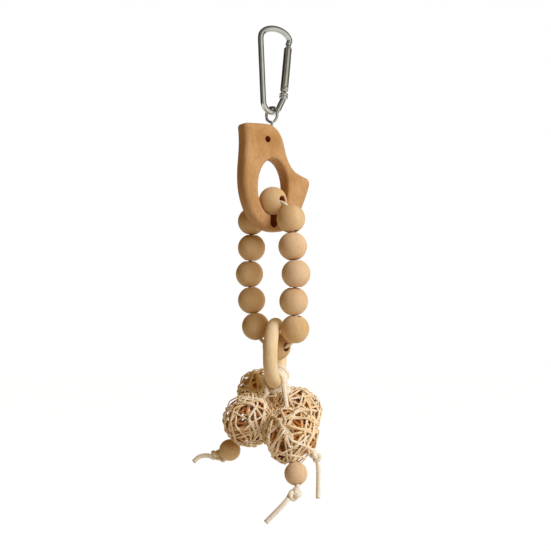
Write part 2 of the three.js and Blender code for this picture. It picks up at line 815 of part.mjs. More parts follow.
const bird = named('wooden_bird', geometryOf(birdBody()), beech);
bird.position.copy(eyePlace);
bird.rotation.z = birdYaw;
toy.add(bird);

toy.add(beadLoop());

const ring = new THREE.TorusGeometry(ringRadius, ringSection / 2, 8, 28);
toy.add(placed(named('wooden_ring', ring, ringWood), ringCentre, ringAxis));
toy.add(ballCluster());

export default toy;
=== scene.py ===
import json
import math
import bpy
import numpy as np
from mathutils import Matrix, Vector


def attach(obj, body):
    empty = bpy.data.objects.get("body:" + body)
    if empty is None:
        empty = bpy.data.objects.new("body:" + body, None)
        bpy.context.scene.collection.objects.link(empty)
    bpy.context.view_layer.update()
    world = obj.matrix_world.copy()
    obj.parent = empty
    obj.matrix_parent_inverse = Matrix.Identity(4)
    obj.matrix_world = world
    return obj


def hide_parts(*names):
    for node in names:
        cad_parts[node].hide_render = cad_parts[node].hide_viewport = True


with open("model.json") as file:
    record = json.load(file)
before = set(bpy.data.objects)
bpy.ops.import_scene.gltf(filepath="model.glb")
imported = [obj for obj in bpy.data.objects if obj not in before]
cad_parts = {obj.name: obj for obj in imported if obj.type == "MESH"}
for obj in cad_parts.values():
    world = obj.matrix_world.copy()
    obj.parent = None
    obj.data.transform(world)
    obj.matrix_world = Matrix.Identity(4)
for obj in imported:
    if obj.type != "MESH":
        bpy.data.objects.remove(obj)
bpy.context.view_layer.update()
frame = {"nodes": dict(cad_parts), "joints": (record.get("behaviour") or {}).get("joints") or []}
joints = {joint["name"]: joint for joint in frame["joints"]}
mm = 0.001

# The photo is a 551 px square whose focal length is 763.9 px, level with the toy's middle.
photoView = {"place": (0, -0.550, -0.1755), "focalPixels": 763.9, "imagePixels": 551, "sensor": 36}


def placeCamera(view):
    lens = bpy.data.cameras.new("photoCamera")
    lens.sensor_width = view["sensor"]
    lens.lens = view["sensor"] * view["focalPixels"] / view["imagePixels"]
    camera = bpy.data.objects.new("photoCamera", lens)
    camera.location = view["place"]
    camera.rotation_euler = (math.pi / 2, 0, 0)
    bpy.context.scene.collection.objects.link(camera)
    bpy.context.scene.camera = camera


placeCamera(photoView)
bpy.context.scene.view_settings.view_transform = "Standard"


def vec(*numbers):
    return np.array(numbers, float)


upward = vec(0, 0, 1)


def unit(vectors):
    vectors = np.asarray(vectors, float)
    return vectors / np.linalg.norm(vectors, axis=-1, keepdims=True)


def basisAlong(direction):
    # Columns x, y, z with z along direction: the shortest turn that carries +Z there.
    turn = Vector((0, 0, 1)).rotation_difference(Vector(direction))
    return np.array(turn.to_matrix())


def evenAngles(count):
    return np.arange(count) * 2 * math.pi / count


def resample(line, step, closed=False):
    # Points at even steps along a polyline, by its running length.
    line = np.vstack([line, line[:1]]) if closed else np.asarray(line, float)
    run = np.concatenate([[0], np.cumsum(np.linalg.norm(np.diff(line, axis=0), axis=1))])
    count = max(2, int(round(run[-1] / step)))
    marks = np.linspace(0, run[-1], count + 1)
    even = np.stack([np.interp(marks, run, line[:, k]) for k in range(line.shape[1])], axis=1)
    return even[:-1] if closed else even


def smoothLine(points, step):
    # Centripetal Catmull-Rom line through the points: each stretch is the standard blend of
    # four neighbours, spaced by the square root of their distances.
    points = np.asarray(points, float)
    ends = [2 * points[0] - points[1], 2 * points[-1] - points[-2]]
    full = np.vstack([ends[:1], points, ends[1:]])
    gaps = np.sqrt(np.linalg.norm(np.diff(full, axis=0), axis=1))
    knots = np.concatenate([[0], np.cumsum(gaps)])
    pieces = []
    for i in range(1, len(full) - 2):
        t0, t1, t2, t3 = knots[i - 1:i + 3]
        t = np.linspace(t1, t2, 24, endpoint=False)[:, None]
        p0, p1, p2, p3 = full[i - 1:i + 3]
        a1 = (t1 - t) / (t1 - t0) * p0 + (t - t0) / (t1 - t0) * p1
        a2 = (t2 - t) / (t2 - t1) * p1 + (t - t1) / (t2 - t1) * p2
        a3 = (t3 - t) / (t3 - t2) * p2 + (t - t2) / (t3 - t2) * p3
        b1 = (t2 - t) / (t2 - t0) * a1 + (t - t0) / (t2 - t0) * a2
        b2 = (t3 - t) / (t3 - t1) * a2 + (t - t1) / (t3 - t1) * a3
        pieces.append((t2 - t) / (t2 - t1) * b1 + (t - t1) / (t2 - t1) * b2)
    return resample(np.vstack(pieces + [points[-1:]]), step)


def framesAlong(line):
    # Two directions across the line at each point, carried along without twisting.
    offAxis = (0.31, 0.17, 0.94)  # no line here starts this way
    tangents = unit(np.gradient(line, axis=0))
    across = [unit(np.cross(tangents[0], offAxis))]
    for tangent in tangents[1:]:
        kept = across[-1] - tangent * np.dot(across[-1], tangent)
        across.append(unit(kept))
    across = np.array(across)
    return across, np.cross(tangents, across)


def gridPiece(name, grid, material, closedAlong=False, flip=False, layers=None):
    # A surface from a grid of points: rows along, columns around. Columns always close; rows
    # close, or end in a flat lid. A third leading axis holds several such surfaces. Columns that
    # run the other way round need a flip, so that all faces look outwards.
    grid = np.asarray(grid, float)
    if grid.ndim == 3:
        grid = grid[None]
    parts, rows, columns = grid.shape[:3]
    number = np.arange(parts * rows * columns).reshape(parts, rows, columns)
    nextColumn = np.roll(number, -1, axis=2)
    if closedAlong:
        here, after = number, np.roll(number, -1, axis=1)
        hereNext, afterNext = nextColumn, np.roll(nextColumn, -1, axis=1)
    else:
        here, after = number[:, :-1], number[:, 1:]
        hereNext, afterNext = nextColumn[:, :-1], nextColumn[:, 1:]
    corners = [0, 3, 2, 1] if flip else [0, 1, 2, 3]
    quads = np.stack([here, hereNext, afterNext, after], axis=-1)[..., corners].reshape(-1, 4)
    alongUv = np.broadcast_to(np.arange(here.shape[1])[None, :, None], here.shape)
    aroundUv = np.broadcast_to(np.arange(columns)[None, None, :], here.shape)
    uv = np.stack([np.stack([alongUv, alongUv, alongUv + 1, alongUv + 1], -1) / rows,
                   np.stack([aroundUv, aroundUv + 1, aroundUv + 1, aroundUv], -1) / columns], -1)
    faces = quads.tolist()
    uvs = uv[..., corners, :].reshape(-1, 2)
    if not closedAlong:
        way = 1 if flip else -1
        for lid in list(number[:, 0, ::way]) + list(number[:, -1, ::-way]):
            faces.append(lid.tolist())
            uvs = np.vstack([uvs, np.zeros((columns, 2))])
    mesh = bpy.data.meshes.new(name)
    mesh.from_pydata(grid.reshape(-1, 3).tolist(), [], faces)
    mesh.polygons.foreach_set("use_smooth", np.ones(len(faces), bool))
    mesh.uv_layers.new(name="surface").data.foreach_set("uv", uvs.astype(np.float32).ravel())
    if layers is not None:
        stored = mesh.attributes.new("layer", "FLOAT", "POINT")
        stored.data.foreach_set("value", np.asarray(layers, np.float32).ravel())
    mesh.materials.append(material)
    piece = bpy.data.objects.new(name, mesh)
    bpy.context.scene.collection.objects.link(piece)
    return piece


def sharpen(piece, degrees):
    # Edges that turn by more than this stay crisp.
    piece.data.set_sharp_from_angle(angle=math.radians(degrees))


def tubeGrid(line, radius, sides, flat=1.0, dome=0.0):
    # Circles carried along the line. With a dome, size = radius sqrt(1 - (1 - distance / dome)^2)
    # near both ends.
    across, over = framesAlong(line)
    angle = evenAngles(sides)
    run = np.concatenate([[0], np.cumsum(np.linalg.norm(np.diff(line, axis=0), axis=1))])
    size = np.full(len(line), radius)
    if dome > 0:
        near = np.minimum(run, run[-1] - run) / dome
        size = radius * np.sqrt(np.clip(1 - (1 - np.clip(near, 0.02, 1)) ** 2, 0, 1))
    ring = np.cos(angle)[None, :, None] * across[:, None] \
        + flat * np.sin(angle)[None, :, None] * over[:, None]
    return line[:, None] + size[:, None, None] * ring


def turnedGrid(profile, sides, centre, direction):
    # A profile of radius and height turned about direction through centre.
    profile = np.asarray(profile, float)
    angle = evenAngles(sides)
    x, y, z = basisAlong(direction).T
    ring = np.cos(angle)[:, None] * x + np.sin(angle)[:, None] * y
    return np.asarray(centre) + profile[:, None, :1] * ring[None] + profile[:, None, 1:] * z


def roundedProfile(points, steps=4):
    # Each inner corner of a profile becomes a short curve: (1 - t)^2 start + 2 t (1 - t) corner
    # + t^2 end.
    points = np.asarray(points, float)
    out = [points[0]]
    for before, corner, after in zip(points[:-2], points[1:-1], points[2:]):
        reach = 0.22 * min(np.linalg.norm(before - corner), np.linalg.norm(after - corner))
        start = corner + unit(before - corner) * reach
        end = corner + unit(after - corner) * reach
        t = np.linspace(0, 1, steps)[:, None]
        out.extend((1 - t) ** 2 * start + 2 * t * (1 - t) * corner + t ** 2 * end)
    return np.array(out + [points[-1]])


def cutAway(piece, cutters):
    # Takes the cutters' solids out of the piece, and gives the cut walls their material.
    for cutter in cutters:
        step = piece.modifiers.new("cut", "BOOLEAN")
        step.object = cutter
        step.solver = "EXACT"
        step.material_mode = "TRANSFER"
        bpy.context.view_layer.update()
        finished = piece.evaluated_get(bpy.context.evaluated_depsgraph_get())
        cutMesh = bpy.data.meshes.new_from_object(finished)
        piece.modifiers.clear()
        piece.data = cutMesh
        bpy.data.objects.remove(cutter)


def linear(hexColour):
    # Scene-linear light of an sRGB colour: c / 12.92 near black, else ((c + 0.055) / 1.055)^2.4.
    values = np.array([int(hexColour[k:k + 2], 16) / 255 for k in (1, 3, 5)])
    low = values / 12.92
    high = ((values + 0.055) / 1.055) ** 2.4
    return tuple(np.where(values <= 0.04045, low, high)) + (1.0,)


def addNode(tree, kind, inputs=None, **settings):
    node = tree.nodes.new(kind)
    for name, value in settings.items():
        setattr(node, name, value)
    for name, value in (inputs or {}).items():
        if isinstance(value, bpy.types.NodeSocket):
            tree.links.new(value, node.inputs[name])
        else:
            node.inputs[name].default_value = value
    return node


def calc(tree, operation, *values):
    inputs = dict(enumerate(values))
    return addNode(tree, "ShaderNodeMath", inputs, operation=operation).outputs[0]


def noise(tree, place, scale, detail, **more):
    inputs = {"Vector": place, "Scale": scale, "Detail": detail, **more}
    return addNode(tree, "ShaderNodeTexNoise", inputs).outputs["Fac"]


def stretched(tree, place, scale):
    return addNode(tree, "ShaderNodeMapping", {"Vector": place, "Scale": scale}).outputs["Vector"]


def blend(tree, share, first, second, **settings):
    inputs = {"Factor": share, "A": first, "B": second}
    return addNode(tree, "ShaderNodeMix", inputs, **settings).outputs["Result"]


def tint(tree, share, first, second):
    return blend(tree, share, first, second, data_type="RGBA")


def layerOf(tree):
    return addNode(tree, "ShaderNodeAttribute", attribute_name="layer").outputs["Fac"]


def rampOf(tree, factor, stops):
    ramp = addNode(tree, "ShaderNodeValToRGB", {"Fac": factor})
    while len(ramp.color_ramp.elements) < len(stops):
        ramp.color_ramp.elements.new(0.5)
    for element, (place, colour) in zip(ramp.color_ramp.elements, stops):
        element.position = place
        element.color = linear(colour)
    return ramp.outputs["Color"]


def newFinish(name, **values):
    material = bpy.data.materials.new(name)
    material.use_nodes = True
    shader = material.node_tree.nodes["Principled BSDF"]
    for socket, value in values.items():
        shader.inputs[socket.replace("_", " ")].default_value = value
    return material, material.node_tree, shader


def surface(tree, shader, colour, height, strength, distance):
    tree.links.new(colour, shader.inputs["Base Color"])
    bump = addNode(tree, "ShaderNodeBump", {
        "Height": height, "Strength": strength, "Distance": distance})
    tree.links.new(bump.outputs["Normal"], shader.inputs["Normal"])


# fibre is the width of one fibre in millimetres, grain the radians that it lies off upright.
woods = {
    "bird": {"pale": "#cfa371", "mid": "#c49560", "deep": "#ae7e46", "dash": "#87591f",
             "blushAndLight": "#cfa371", "flecks": 0.5, "fibre": 1.1, "rough": 0.62, "grain": 0.0},
    "bead": {"pale": "#e3c192", "mid": "#dab680", "deep": "#cba166", "dash": "#aa8142",
             "blushAndLight": "#efcfae", "flecks": 0.3, "fibre": 1.0, "rough": 0.55, "grain": 0.5},
    "ring": {"pale": "#f9e2b6", "mid": "#f3d8a8", "deep": "#e2c28b", "dash": "#bd985c",
             "blushAndLight": "#f9e2b6", "flecks": 0.25, "fibre": 0.9, "rough": 0.52, "grain": 0.3},
}


def turnedWood(name, wood):
    # Bare sanded close-grained wood: long soft fibres, faint year bands and short dark dashes.
    # The layer attribute turns it towards a lighter, pinker colour: partly the wood's own tone,
    # partly painted light.
    material, tree, shader = newFinish(name, Roughness=wood["rough"])
    place = addNode(tree, "ShaderNodeTexCoord").outputs["Object"]
    lie = addNode(tree, "ShaderNodeMapping", {
        "Vector": place, "Rotation": (wood["grain"], 0.2, 0.4)}).outputs["Vector"]
    long, short = stretched(tree, lie, (1, 1, 0.09)), stretched(tree, lie, (1, 1, 0.3))
    perMetre = 1 / (wood["fibre"] * mm)
    fibres = noise(tree, long, perMetre, 3, Roughness=0.55)
    bands = noise(tree, long, perMetre / 8, 2, Distortion=0.5)
    grain = blend(tree, 0.45, blend(tree, 0.5, fibres, bands), noise(tree, place, 60, 1))
    colour = rampOf(tree, grain, [(0.33, wood["deep"]), (0.5, wood["mid"]), (0.66, wood["pale"])])
    dark = addNode(tree, "ShaderNodeMapRange", {
        "Value": noise(tree, short, perMetre * 1.3, 2), "From Min": 0.56, "From Max": 0.72,
        "To Min": 0, "To Max": wood["flecks"]}).outputs["Result"]
    # Chosen beads turn lighter and pinker: partly their own tone, partly painted light on the front
    # beads facing the lamp.
    blushedAndLit = tint(tree, layerOf(tree), colour, linear(wood["blushAndLight"]))
    surface(tree, shader, tint(tree, dark, blushedAndLit, linear(wood["dash"])), fibres, 0.12, 0.0002)
    return material


rattanTone = {"pale": "#ffedcb", "straw": "#f2d39c", "inner": "#d5883a", "shade": "#9c5718"}


def splitRattan():
    # Split rattan: glossy pale skin with fine lengthwise fibres, and orange-brown inner strips.
    # The layer attribute runs from 0 for a deep inner strip to 1 for a pale outer one. The deep
    # strips' darker orange-brown is partly the cane's own colour and partly painted shade inside
    # the ball; the outer strips' pale is partly painted light.
    material, tree, shader = newFinish("splitRattan", Roughness=0.48)
    place = addNode(tree, "ShaderNodeTexCoord")
    fibres = noise(tree, stretched(tree, place.outputs["UV"], (4, 26, 1)), 3, 3)
    patches = noise(tree, place.outputs["Object"], 190, 2)
    nudge = calc(tree, "SUBTRACT", blend(tree, 0.5, fibres, patches), 0.5)
    colour = rampOf(tree, calc(tree, "MULTIPLY_ADD", nudge, 0.9, layerOf(tree)), [
        (0.05, rattanTone["shade"]), (0.35, rattanTone["inner"]),
        (0.68, rattanTone["straw"]), (0.95, rattanTone["pale"])])
    surface(tree, shader, colour, fibres, 0.35, 0.0003)
    return material


cottonTone = {"pale": "#fcf5e2", "mid": "#f6ebcf", "deep": "#dfcca0", "burnt": "#8a6738"}


def braidedCotton(name, plaitsAlong, plaitsAround):
    # Undyed braided cotton: small crossing plaits with soft fuzz and no shine. The plaits are
    # sin(2 pi (along + around)) times sin(2 pi (along - around)). The layer attribute singes a cut.
    material, tree, shader = newFinish(name, Roughness=0.92, Sheen_Weight=0.35, Sheen_Roughness=0.5)
    place = addNode(tree, "ShaderNodeTexCoord")
    split = addNode(tree, "ShaderNodeSeparateXYZ", {"Vector": place.outputs["UV"]})
    along = calc(tree, "MULTIPLY", split.outputs["X"], plaitsAlong)
    waves = []
    for way in (1, -1):
        lean = calc(tree, "MULTIPLY_ADD", split.outputs["Y"], way * plaitsAround, along)
        waves.append(calc(tree, "SINE", calc(tree, "MULTIPLY", lean, 2 * math.pi)))
    fuzz = noise(tree, place.outputs["Object"], 900, 2)
    height = calc(tree, "MULTIPLY_ADD", calc(tree, "MULTIPLY", *waves), 0.28, fuzz)
    # The colour follows the plaits' height: the grooves between plaits are painted darker, as
    # painted shade.
    colour = rampOf(tree, height, [
        (0.05, cottonTone["deep"]), (0.4, cottonTone["mid"]), (0.8, cottonTone["pale"])])
    colour = tint(tree, layerOf(tree), colour, linear(cottonTone["burnt"]))
    surface(tree, shader, colour, height, 0.3, 0.0003)
    return material


def platedSteel(name, tones, rough):
    # Nickel-plated steel wire: smooth and bright, a little duller in patches.
    material, tree, shader = newFinish(name, Metallic=1.0)
    dull = noise(tree, addNode(tree, "ShaderNodeTexCoord").outputs["Object"], 120, 2)
    rougher = addNode(tree, "ShaderNodeMapRange", {
        "Value": dull, "To Min": rough - 0.05, "To Max": rough + 0.08})
    tree.links.new(rougher.outputs["Result"], shader.inputs["Roughness"])
    tree.links.new(rampOf(tree, dull, list(zip((0.3, 0.7), tones))), shader.inputs["Base Color"])
    return material


nickelPlate = platedSteel("nickelPlate", ("#b9b7b0", "#cac8c2"), 0.15)
# The gate's copy of the nickel is painted darker: painted shade for the darker reflection it shows.
gateNickelPaintedDim = platedSteel("gateNickelPaintedDim", ("#a9a59a", "#b9b5aa"), 0.17)
springWire = platedSteel("springWire", ("#70706c", "#8b8a85"), 0.4)
birdWood = turnedWood("sandedBeech", woods["bird"])
beadWood = turnedWood("turnedBeadWood", woods["bead"])
ringWood = turnedWood("turnedRingWood", woods["ring"])
rattanSkin = splitRattan()
# Wall of a drilled hole, painted dark red brown as painted shade inside the hole.
paintedShadeHoleWood = newFinish("paintedShadeHoleWood", Roughness=0.8, Base_Color=linear("#a35a34"))[0]
hangerCotton = braidedCotton("braidedCottonHanger", 60, 3)
hitchCotton = braidedCotton("braidedCottonHitch", 64, 3)
loopCotton = braidedCotton("braidedCottonLoop", 160, 3)
print("materials made")


def stands(piece, body, node):
    # The piece moves with the body and is shown in place of the frame's node.
    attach(piece, body)
    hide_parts(node)


# Each hanging cord runs from a hitch through a ball and an end bead to an overhand knot and a tail.
cordSize = {"diameter": 3.3 * mm, "sides": 20, "step": 0.45 * mm, "flat": 0.94, "singedRows": 2,
            "singed": 0.75, "straight": 2 * mm}
# fall leads from the end bead to the knot, flow through the knot, and tail holds points from the
# knot on in mm. The knot bulges towards lobes.
hangers = {
    "left_front": {"fall": (-6, 7, 2), "lobes": (0.2, -0.5, 0.8),
                   "tail": [(-6, -1, -0.2), (-12, -2, -0.6), (-16.5, -3, -4)]},
    "right_front": {"fall": (-3, -2, -11.5), "lobes": (0.3, -0.5, -0.8), "flow": (-1, -0.1, -0.5),
                    "tail": [(-5.4, -1.8, -4), (-18.5, -4, -17)]},
    "left_rear": {"fall": (-2, 9, -8), "lobes": (0.9, 0.2, 0.3),
                  "tail": [(0, 3, -9), (0.5, 3.5, -20)]},
    "right_rear": {"fall": (12, -2, -9), "lobes": (0.5, -0.8, 0.2),
                   "tail": [(2, 0.5, -9), (1.8, 0.5, -31)]},
}
knotReach = 12.7 * mm  # middle of the end bead to the middle of its knot
knotShape = {"along": 0.33, "out": 0.42, "depth": 0.5, "trim": 0.75, "points": 22}
endBead = {"diameter": 15, "length": 14, "bore": 4.4, "sides": 48}
hangGap = 0.6 * mm  # the hitch ends this far above a hanger's joint


def overhandKnot(centre, flow, lobes, diameter):
    # The middle of a trefoil, x = sin t + 2 sin 2t, y = cos t - 2 cos 2t, z = -sin 3t, with its
    # lowest arc left out, so that one end comes in and the other goes out along the flow.
    t = np.linspace(knotShape["trim"] - math.pi, math.pi - knotShape["trim"], knotShape["points"])
    along = np.sin(t) + 2 * np.sin(2 * t)
    out = np.cos(t) - 2 * np.cos(2 * t) - 0.4
    back = -np.sin(3 * t)
    flow = unit(flow)
    bulge = unit(np.asarray(lobes) - flow * np.dot(lobes, flow))
    deep = np.cross(flow, bulge)
    return np.asarray(centre) - np.outer(along, flow) * diameter * knotShape["along"] \
        + np.outer(out, bulge) * diameter * knotShape["out"] \
        + np.outer(back, deep) * diameter * knotShape["depth"]


def hangerLine(name, hanger):
    swing, bead = joints[f"hanger_{name}_swing"], joints[f"end_bead_{name}_spin"]
    direction = unit(bead["axis"])
    start = vec(*swing["pos_m"]) - direction * hangGap
    lower = vec(*bead["pos_m"])
    half = endBead["length"] * mm / 2
    knot = lower + unit(direction + unit(hanger["fall"])) * knotReach
    tail = knot + np.array(hanger["tail"]) * mm
    entry, leave = lower + direction * (half + cordSize["diameter"] / 2), tail[0]
    flow = hanger.get("flow", unit(knot - entry) + unit(leave - knot))
    turns = overhandKnot(knot, flow, hanger["lobes"], cordSize["diameter"])
    points = np.vstack([
        start, start + direction * cordSize["straight"], lower - direction * half,
        lower + direction * half, entry, turns, tail])
    return smoothLine(points, cordSize["step"]), start


for name, hanger in hangers.items():
    line, start = hangerLine(name, hanger)
    grid = tubeGrid(line, cordSize["diameter"] / 2, cordSize["sides"], cordSize["flat"])
    cutEnd = np.zeros(grid.shape[:2])
    cutEnd[-cordSize["singedRows"]:] = cordSize["singed"]
    hangingCord = gridPiece(f"hangingCord_{name}", grid, hangerCotton, layers=cutEnd)
    sharpen(hangingCord, 60)
    stands(hangingCord, f"hanger_{name}", f"cord_{name}")


loopBead = {"diameter": 20, "length": 18.6, "bore": 6, "sides": 56}
beadForm = {"arcRows": 22, "boreRows": 4, "ease": 0.35}
beadBlushAndLight = {  # how much lighter and pinker a bead is: partly its wood's tone, partly painted light
    "loop_bead_03": 0.25, "loop_bead_04": 0.35, "loop_bead_05": 0.25, "end_bead_right_front": 0.35}


def beadProfile(bead):
    # A sphere, r = R cos a and z = R sin a, cut flat at both ends round a straight bore with
    # eased rims. The rows of the bore come last.
    radius, half, bore = bead["diameter"] / 2, bead["length"] / 2, bead["bore"] / 2
    edge, ease = math.asin(half / radius), beadForm["ease"]
    angle = np.linspace(-edge, edge, beadForm["arcRows"])
    lowRim = [(bore, -half + ease), (bore + 0.12, -half + 0.1), (bore + ease, -half)]
    ball = np.stack([radius * np.cos(angle), radius * np.sin(angle)], 1)
    highRim = [(r, -z) for r, z in lowRim[::-1]]
    heights = np.linspace(half - ease, -half + ease, beadForm["boreRows"] + 2)[1:-1]
    inside = [(bore, z) for z in heights]
    return np.vstack([lowRim, ball, highRim, inside]) * mm


def makeBead(name, bead, joint, node):
    grid = turnedGrid(beadProfile(bead), bead["sides"], joint["pos_m"], joint["axis"])
    blushAndLight = np.full(grid.shape[:2], beadBlushAndLight.get(node, 0.0))
    piece = gridPiece(name, grid, beadWood, closedAlong=True, layers=blushAndLight)
    # The bore's wall is painted dark red brown: painted shade inside the bore.
    piece.data.materials.append(paintedShadeHoleWood)
    inBore = np.repeat(np.arange(len(grid)) >= len(grid) - beadForm["boreRows"] - 1, grid.shape[1])
    piece.data.polygons.foreach_set("material_index", inBore.astype(np.int32))
    sharpen(piece, 50)
    stands(piece, node, node)  # each bead is a body of its own with its node's name


for i in range(1, 13):
    node = f"loop_bead_{i:02d}"
    makeBead(f"loopBead{i:02d}", loopBead, joints[f"{node}_spin"], node)
for name in hangers:
    node = f"end_bead_{name}"
    makeBead(f"endBead_{name}", endBead, joints[f"{node}_spin"], node)
print("beads made")


loopCord = {"diameter": 2.6 * mm, "sides": 16, "step": 0.6 * mm, "hold": 0.4, "meet": 0.15 * mm,
            "sag": 1.4 * mm, "bottomBead": 6}


def loopLine():
    # From inside the bottom bead, where the real cord has its knot, once round through all beads.
    spins = [joints[f"loop_bead_{i:02d}_spin"] for i in range(1, 13)]
    hold = loopBead["length"] * mm * loopCord["hold"]
    start = loopCord["bottomBead"]
    bottom, side = vec(*spins[start]["pos_m"]), vec(*spins[0]["axis"])
    points = [bottom - side * loopCord["meet"], bottom - side * hold]
    for k in range(1, 12):
        number = (start + k) % 12
        centre, axis = vec(*spins[number]["pos_m"]), vec(*spins[number]["axis"])
        if number == 0:
            centre = centre - upward * loopCord["sag"]  # the cord hangs low in the top bead
        points += [centre - axis * hold, centre + axis * hold]
    points += [bottom + side * hold, bottom + side * loopCord["meet"]]
    return smoothLine(points, loopCord["step"])


loopGrid = tubeGrid(loopLine(), loopCord["diameter"] / 2, loopCord["sides"])
stands(gridPiece("loopCord", loopGrid, loopCotton), "loop", "loop_cord")


woodenRing = {"centre": (-0.17, -8.27, -230.49), "radius": 20, "section": 10,
              "yaw": math.radians(-10), "around": 180, "sectionSides": 44}
ringAxis = vec(math.cos(woodenRing["yaw"]), math.sin(woodenRing["yaw"]), 0)
ringSide = vec(-math.sin(woodenRing["yaw"]), math.cos(woodenRing["yaw"]), 0)


def rimPoint(ringAngle, distance, sectionAngle):
    # Round the ring from its lowest point, then out from the middle of its section.
    ringAngle, distance, sectionAngle = np.broadcast_arrays(ringAngle, distance, sectionAngle)
    outward = np.sin(ringAngle)[..., None] * ringSide - np.cos(ringAngle)[..., None] * upward
    reach = woodenRing["radius"] + distance * np.cos(sectionAngle)
    aside = distance * np.sin(sectionAngle)
    centre = vec(*woodenRing["centre"])
    return (centre + outward * reach[..., None] + ringAxis * aside[..., None]) * mm


ringTurn = evenAngles(woodenRing["around"])[:, None]
sectionTurn = evenAngles(woodenRing["sectionSides"])[None, :]
ringPiece = gridPiece("woodenRing", rimPoint(ringTurn, woodenRing["section"] / 2, sectionTurn),
                      ringWood, closedAlong=True, flip=True)
stands(ringPiece, "ring", "wooden_ring")

hitchShape = {"wrapEnd": math.radians(62), "points": 18, "distance": 6.8, "pitch": 3.8 / 13.1,
              "climb": 0.3, "legRun": 1.6, "legStep": math.radians(10)}
hitches = {  # degrees along the ring; each leg ends at (degrees along, mm out, degrees of section)
    "front": {"place": -8, "lay": 1, "left": (-18.5, 11.6, -28), "right": (-35.5, 12.4, 48)},
    "rear": {"place": 30, "lay": -1, "left": (38.5, 10.8, -55), "right": (21.5, 11.8, 42)},
}


def hitchLeg(name, side, hitch, start, sign):
    # From the turns along the ring to the leg's end, rising clear of the turns early on.
    at, drop, angle = math.radians(hitch[side][0]), hitch[side][1], math.radians(hitch[side][2])
    count = round(abs(at - start) / hitchShape["legStep"])
    share = np.arange(1, max(count, 1)) / max(count, 1)
    rise = np.minimum(1, share / hitchShape["climb"])
    run = rimPoint(start + (at - start) * share,
                   hitchShape["distance"] + (drop - hitchShape["distance"]) * rise,
                   sign * hitchShape["wrapEnd"] * (1 - share) + angle * share)
    end = rimPoint(at, drop, angle)
    away = unit(vec(*joints[f"ball_{side}_{name}_spin"]["axis"]))
    return np.vstack([run, end - away * hitchShape["legRun"] * mm, end])


def hitchLine(name, hitch):
    # Nearly two turns round the ring's section, one beside the other, between two legs.
    share = np.linspace(0, 1, hitchShape["points"] + 1)
    sweep = 2 * hitchShape["wrapEnd"] - 4 * math.pi
    lay = -sweep / (2 * math.pi) * hitchShape["pitch"] * hitch["lay"]
    place = math.radians(hitch["place"])
    turns = rimPoint(place + lay * (share - 0.5), hitchShape["distance"],
                     sweep * share - hitchShape["wrapEnd"])
    left = hitchLeg(name, "left", hitch, place - lay / 2, -1)
    right = hitchLeg(name, "right", hitch, place + lay / 2, 1)
    return smoothLine(np.vstack([left[::-1], turns, right]), cordSize["step"])


for name, hitch in hitches.items():
    line = hitchLine(name, hitch)
    grid = tubeGrid(line, cordSize["diameter"] / 2, cordSize["sides"], cordSize["flat"])
    stands(gridPiece(f"hitch_{name}", grid, hitchCotton), "ring", f"hitch_{name}")
print("ring and hitches made")


ballWeave = {"radius": 19.85, "outer": 25, "inner": 21, "corners": 7, "steps": 14, "sides": 8,
             "width": (1.2, 1.9), "thickness": 0.85, "outerDrop": (0.0, 0.9),
             "innerDrop": (1.8, 5.5), "wander": 0.26, "lean": 0.5, "uneven": 0.32, "open": 3.0,
             "square": 0.6, "outerTone": (0.7, 1.0), "innerTone": (0.2, 0.6), "firstSeed": 11}


